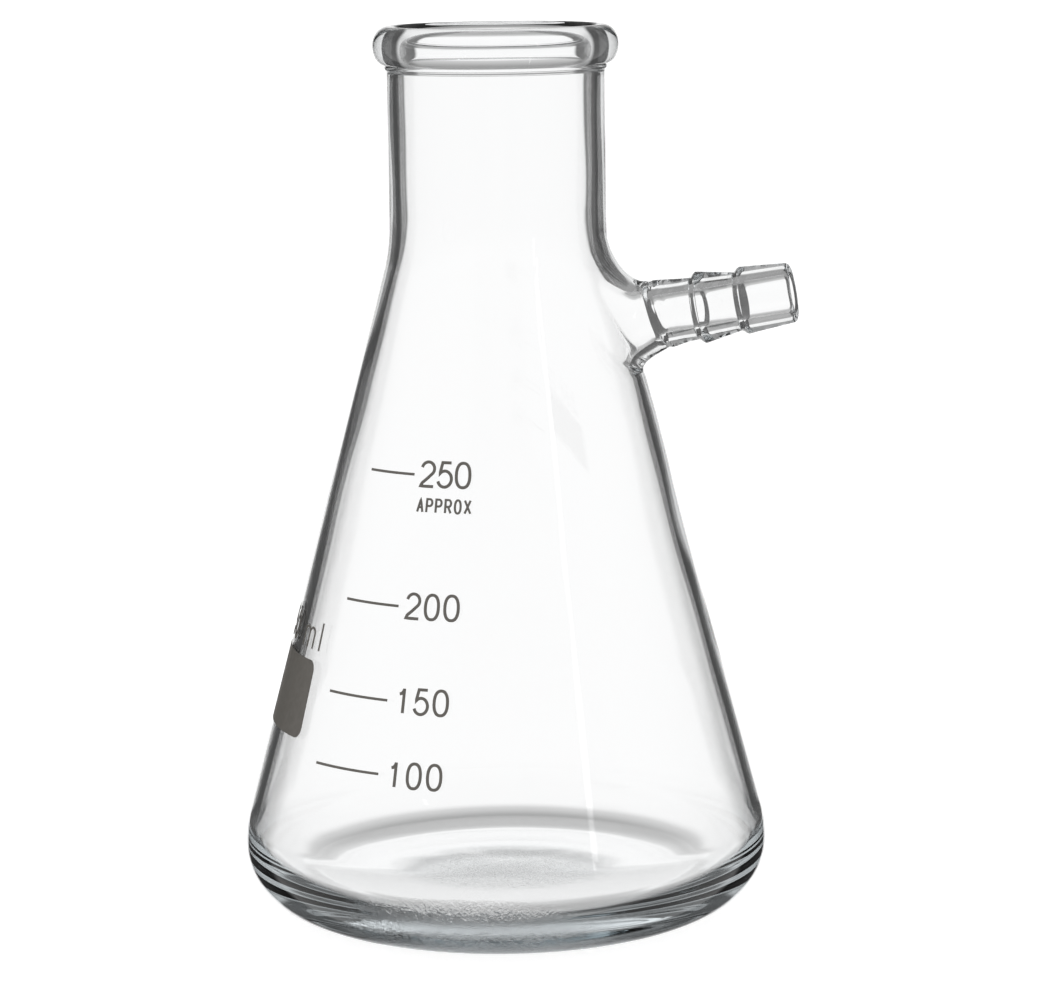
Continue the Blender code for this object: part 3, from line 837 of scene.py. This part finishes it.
def numeral(label, height, pitch):
    surface = Surface()
    for place, character in enumerate(label):
        angle = math.radians(TEXT_FROM) + place * pitch / cone_radius(height)
        width = DIGIT_WIDTH
        if character == "1":
            width = DIGIT_ONE_WIDTH
            angle += DIGIT_ONE_INSET / cone_radius(height)
        foot = height - DIGIT_DROP
        print_character(surface, character, width, DIGIT_HEIGHT, DIGIT_STROKE, angle, foot)
    return surface


def word():
    surface = Surface()
    for place, character in enumerate(WORD):
        angle = math.radians(TEXT_FROM) + place * WORD_PITCH / cone_radius(WORD_Z)
        print_character(surface, character, WORD_WIDTH, WORD_HEIGHT, WORD_STROKE, angle, WORD_Z)
    return surface


def capacity():
    surface = Surface()
    for place, character in enumerate("250"):
        angle = math.radians(CAPACITY_FROM) + place * CAPACITY_PITCH / cone_radius(CAPACITY_Z)
        size = (CAPACITY_DIGIT_WIDTH, CAPACITY_HEIGHT, DIGIT_STROKE)
        print_character(surface, character, *size, angle, CAPACITY_Z)
    for character, (start, width, height) in CAPACITY_LETTERS.items():
        size = (width, height, CAPACITY_STROKE)
        print_character(surface, character, *size, math.radians(start), CAPACITY_Z)
    return surface


def spot():
    """The marking spot, with corners rounded by trimming its height near both ends."""
    surface = Surface()
    low, high = SPOT_Z
    corner_angle = SPOT_CORNER / cone_radius((low + high) / 2)
    start, end = math.radians(SPOT_FROM), math.radians(SPOT_TO)

    def edges(share):
        angle = lerp(start, end, (1 - math.cos(math.pi * share)) / 2)
        from_end = min(angle - start, end - angle)
        into_corner = max(0.0, 1 - from_end / corner_angle)
        trim = SPOT_CORNER * (1 - math.sqrt(max(0.0, 1 - into_corner**2)))
        return angle, low + trim, high - trim

    print_patch(surface, edges, SPOT_COLUMNS, SPOT_ROWS)
    return surface


def build_enamel():
    enamel = enamel_material()

    def mark(name, surface, *nodes):
        piece(name, surface.mesh(name), enamel, nodes)

    digits = (1, 2, 3)
    for label, (height, pitch) in GRADUATIONS.items():
        mark(f"line_{label}", graduation_line(height), f"graduation_line_{label}")
        nodes = [f"numeral_{label}_digit_{i}" for i in digits]
        mark(f"numeral_{label}", numeral(label, height, pitch), *nodes)
    mark("word_approx", word(), *[f"approx_letter_{i + 1}" for i in range(len(WORD))])
    nodes = [f"capacity_digit_{i}" for i in digits]
    mark("capacity_text", capacity(), *nodes, "capacity_letter_m", "capacity_letter_l")
    mark("marking_spot_print", spot(), "marking_spot")


# ---------------------------------------------------------------- studio

CAMERA_AZIMUTH = math.radians(10.0)
CAMERA_DISTANCE = 0.640  # metres
CAMERA_HEIGHT = 0.174  # metres
CAMERA_AIM = (4.478, 70.646)  # to the right of the flask's axis, and up
CAMERA_ROLL = math.radians(-0.727)
CAMERA_LENS = 130.46
CAMERA_SENSOR = 36.0
CAMERA_CLIP = (0.01, 50.0)  # metres

# Half profile of the floor: flat rings, the bend up to the back, the top
FLOOR_FLAT = (0.01, 60, 200, 600, 1500)
FLOOR_BEND = 800.0
FLOOR_BEND_STEPS = 16
FLOOR_TOP = 4000.0
FLOOR_DROP = 0.3
FLOOR_SECTORS = 96


def build_camera():
    data = bpy.data.cameras.new("camera")
    data.lens = CAMERA_LENS
    data.sensor_width = CAMERA_SENSOR
    camera = bpy.data.objects.new("camera", data)
    bpy.context.scene.collection.objects.link(camera)
    across = Vector((math.cos(CAMERA_AZIMUTH), math.sin(CAMERA_AZIMUTH), 0))
    towards = Vector((math.sin(CAMERA_AZIMUTH), -math.cos(CAMERA_AZIMUTH), 0))
    place = towards * CAMERA_DISTANCE
    place.z = CAMERA_HEIGHT
    aim = across * CAMERA_AIM[0] * MM
    aim.z = CAMERA_AIM[1] * MM
    forward = (aim - place).normalized()
    right = forward.cross(Vector((0, 0, 1))).normalized()
    up = right.cross(forward)
    rolled_right = right * math.cos(CAMERA_ROLL) + up * math.sin(CAMERA_ROLL)
    rolled_up = up * math.cos(CAMERA_ROLL) - right * math.sin(CAMERA_ROLL)
    camera.matrix_world = Matrix(
        (
            (rolled_right.x, rolled_up.x, -forward.x, place.x),
            (rolled_right.y, rolled_up.y, -forward.y, place.y),
            (rolled_right.z, rolled_up.z, -forward.z, place.z),
            (0, 0, 0, 1),
        )
    )
    data.clip_start, data.clip_end = CAMERA_CLIP
    bpy.context.scene.camera = camera


def soft_band(tree, value, low, high, softness):
    """1 between low and high, falling smoothly to 0 over the softness at both ends."""
    made = []
    for edge, sign in ((low, 1), (high, -1)):
        node = tree.nodes.new("ShaderNodeMapRange")
        node.interpolation_type = "SMOOTHSTEP"
        tree.links.new(value, node.inputs["Value"])
        node.inputs["From Min"].default_value = edge - softness * sign / 2
        node.inputs["From Max"].default_value = edge + softness * sign / 2
        made.append(node.outputs["Result"])
    return math_node(tree, "MULTIPLY", *made)


DEGREES = 180 / math.pi
SURROUND = 0.70  # radiance of the room round the set
# Areas laid over one another in this order: direction seen from the flask (degrees from +X towards
# +Y; the main camera looks towards 100) and half width, lowest and highest elevation, edge softness
# (all degrees), radiance
LIGHT_AREAS = (
    (0.0, 200.0, -100.0, -20.0, 14.0, 0.95),  # pale table below
    (100.0, 50.0, -100.0, -28.0, 16.0, 0.38),  # the table's far side
    (0.0, 200.0, 16.0, 100.0, 10.0, 0.62),  # ceiling
    (100.0, 75.0, 14.0, 100.0, 24.0, 0.32),  # darker canopy over the backdrop
    (134.0, 20.0, -75.0, 24.0, 8.0, 0.07),  # dark card left of the backdrop
    (66.0, 20.0, -75.0, 24.0, 8.0, 0.07),  # dark card right of the backdrop
    (320.0, 0.7, 10.0, 24.0, 1.0, 4.0),  # narrow strip light on the camera's side, to the right
    (100.0, 16.5, -26.0, 9.0, 3.0, 1.02),  # lit backdrop
)


def build_world():
    world = bpy.data.worlds.new("studio")
    world.use_nodes = True
    bpy.context.scene.world = world
    tree = world.node_tree
    background = tree.nodes["Background"]
    place = tree.nodes.new("ShaderNodeTexCoord")
    split = tree.nodes.new("ShaderNodeSeparateXYZ")
    tree.links.new(place.outputs["Generated"], split.inputs["Vector"])
    x, y, z = (split.outputs[axis] for axis in "XYZ")

    def times(a, b):
        return math_node(tree, "MULTIPLY", a, b)

    elevation = times(math_node(tree, "ARCSINE", z), DEGREES)

    def azimuth_from(direction):
        """Degrees round the horizon, counted from this direction, from -180 to 180."""
        c, s = math.cos(math.radians(direction)), math.sin(math.radians(direction))
        ahead = math_node(tree, "ADD", times(x, c), times(y, s))
        aside = math_node(tree, "SUBTRACT", times(y, c), times(x, s))
        return times(math_node(tree, "ARCTAN2", aside, ahead), DEGREES)

    level = SURROUND
    for direction, half, low, high, softness, radiance in LIGHT_AREAS:
        across = soft_band(tree, azimuth_from(direction), -half, half, softness)
        mask = times(across, soft_band(tree, elevation, low, high, softness))
        kept = times(math_node(tree, "SUBTRACT", 1.0, mask), level)
        level = math_node(tree, "ADD", kept, times(mask, radiance))
    tree.links.new(level, background.inputs["Strength"])
    background.inputs["Color"].default_value = (1.0, 1.0, 1.0, 1.0)


def build_stage():
    """A pale floor that bends up far away. Only the camera sees it; the glass sees the world."""
    surface = Surface()
    edge = FLOOR_FLAT[-1]
    profile = [(r, 0.0) for r in FLOOR_FLAT]
    profile += arc((edge, FLOOR_BEND), (FLOOR_BEND, FLOOR_BEND), -90, 0, FLOOR_BEND_STEPS)[1:]
    profile.append((edge + FLOOR_BEND, FLOOR_TOP))
    angles = [TURN * i / FLOOR_SECTORS for i in range(FLOOR_SECTORS)]
    rings = []
    for r, z in profile:
        points = [(r * math.cos(a), r * math.sin(a), z - FLOOR_DROP) for a in angles]
        rings.append([surface.add(point) for point in points])
    for a, b in zip(rings, rings[1:]):
        surface.bridge(a, b)
    floor = bpy.data.objects.new("floor", surface.mesh("floor"))
    floor.data.shade_smooth()
    bpy.context.scene.collection.objects.link(floor)
    made, _, shader = new_material("pale_floor")
    shader.inputs["Base Color"].default_value = (0.9, 0.9, 0.9, 1.0)
    shader.inputs["Roughness"].default_value = 0.9
    shader.inputs["Emission Color"].default_value = (1.0, 1.0, 1.0, 1.0)
    shader.inputs["Emission Strength"].default_value = 0.75
    floor.data.materials.append(made)
    floor.visible_transmission = False
    floor.visible_glossy = False
    floor.visible_diffuse = False
    floor.visible_shadow = False


def set_view():
    scene = bpy.context.scene
    scene.view_settings.view_transform = "Standard"
    scene.view_settings.look = "None"
    scene.cycles.max_bounces = 24
    scene.cycles.transmission_bounces = 24
    scene.cycles.glossy_bounces = 16
    scene.cycles.diffuse_bounces = 3


build_flask()
build_enamel()
build_stage()
build_world()
build_camera()
set_view()
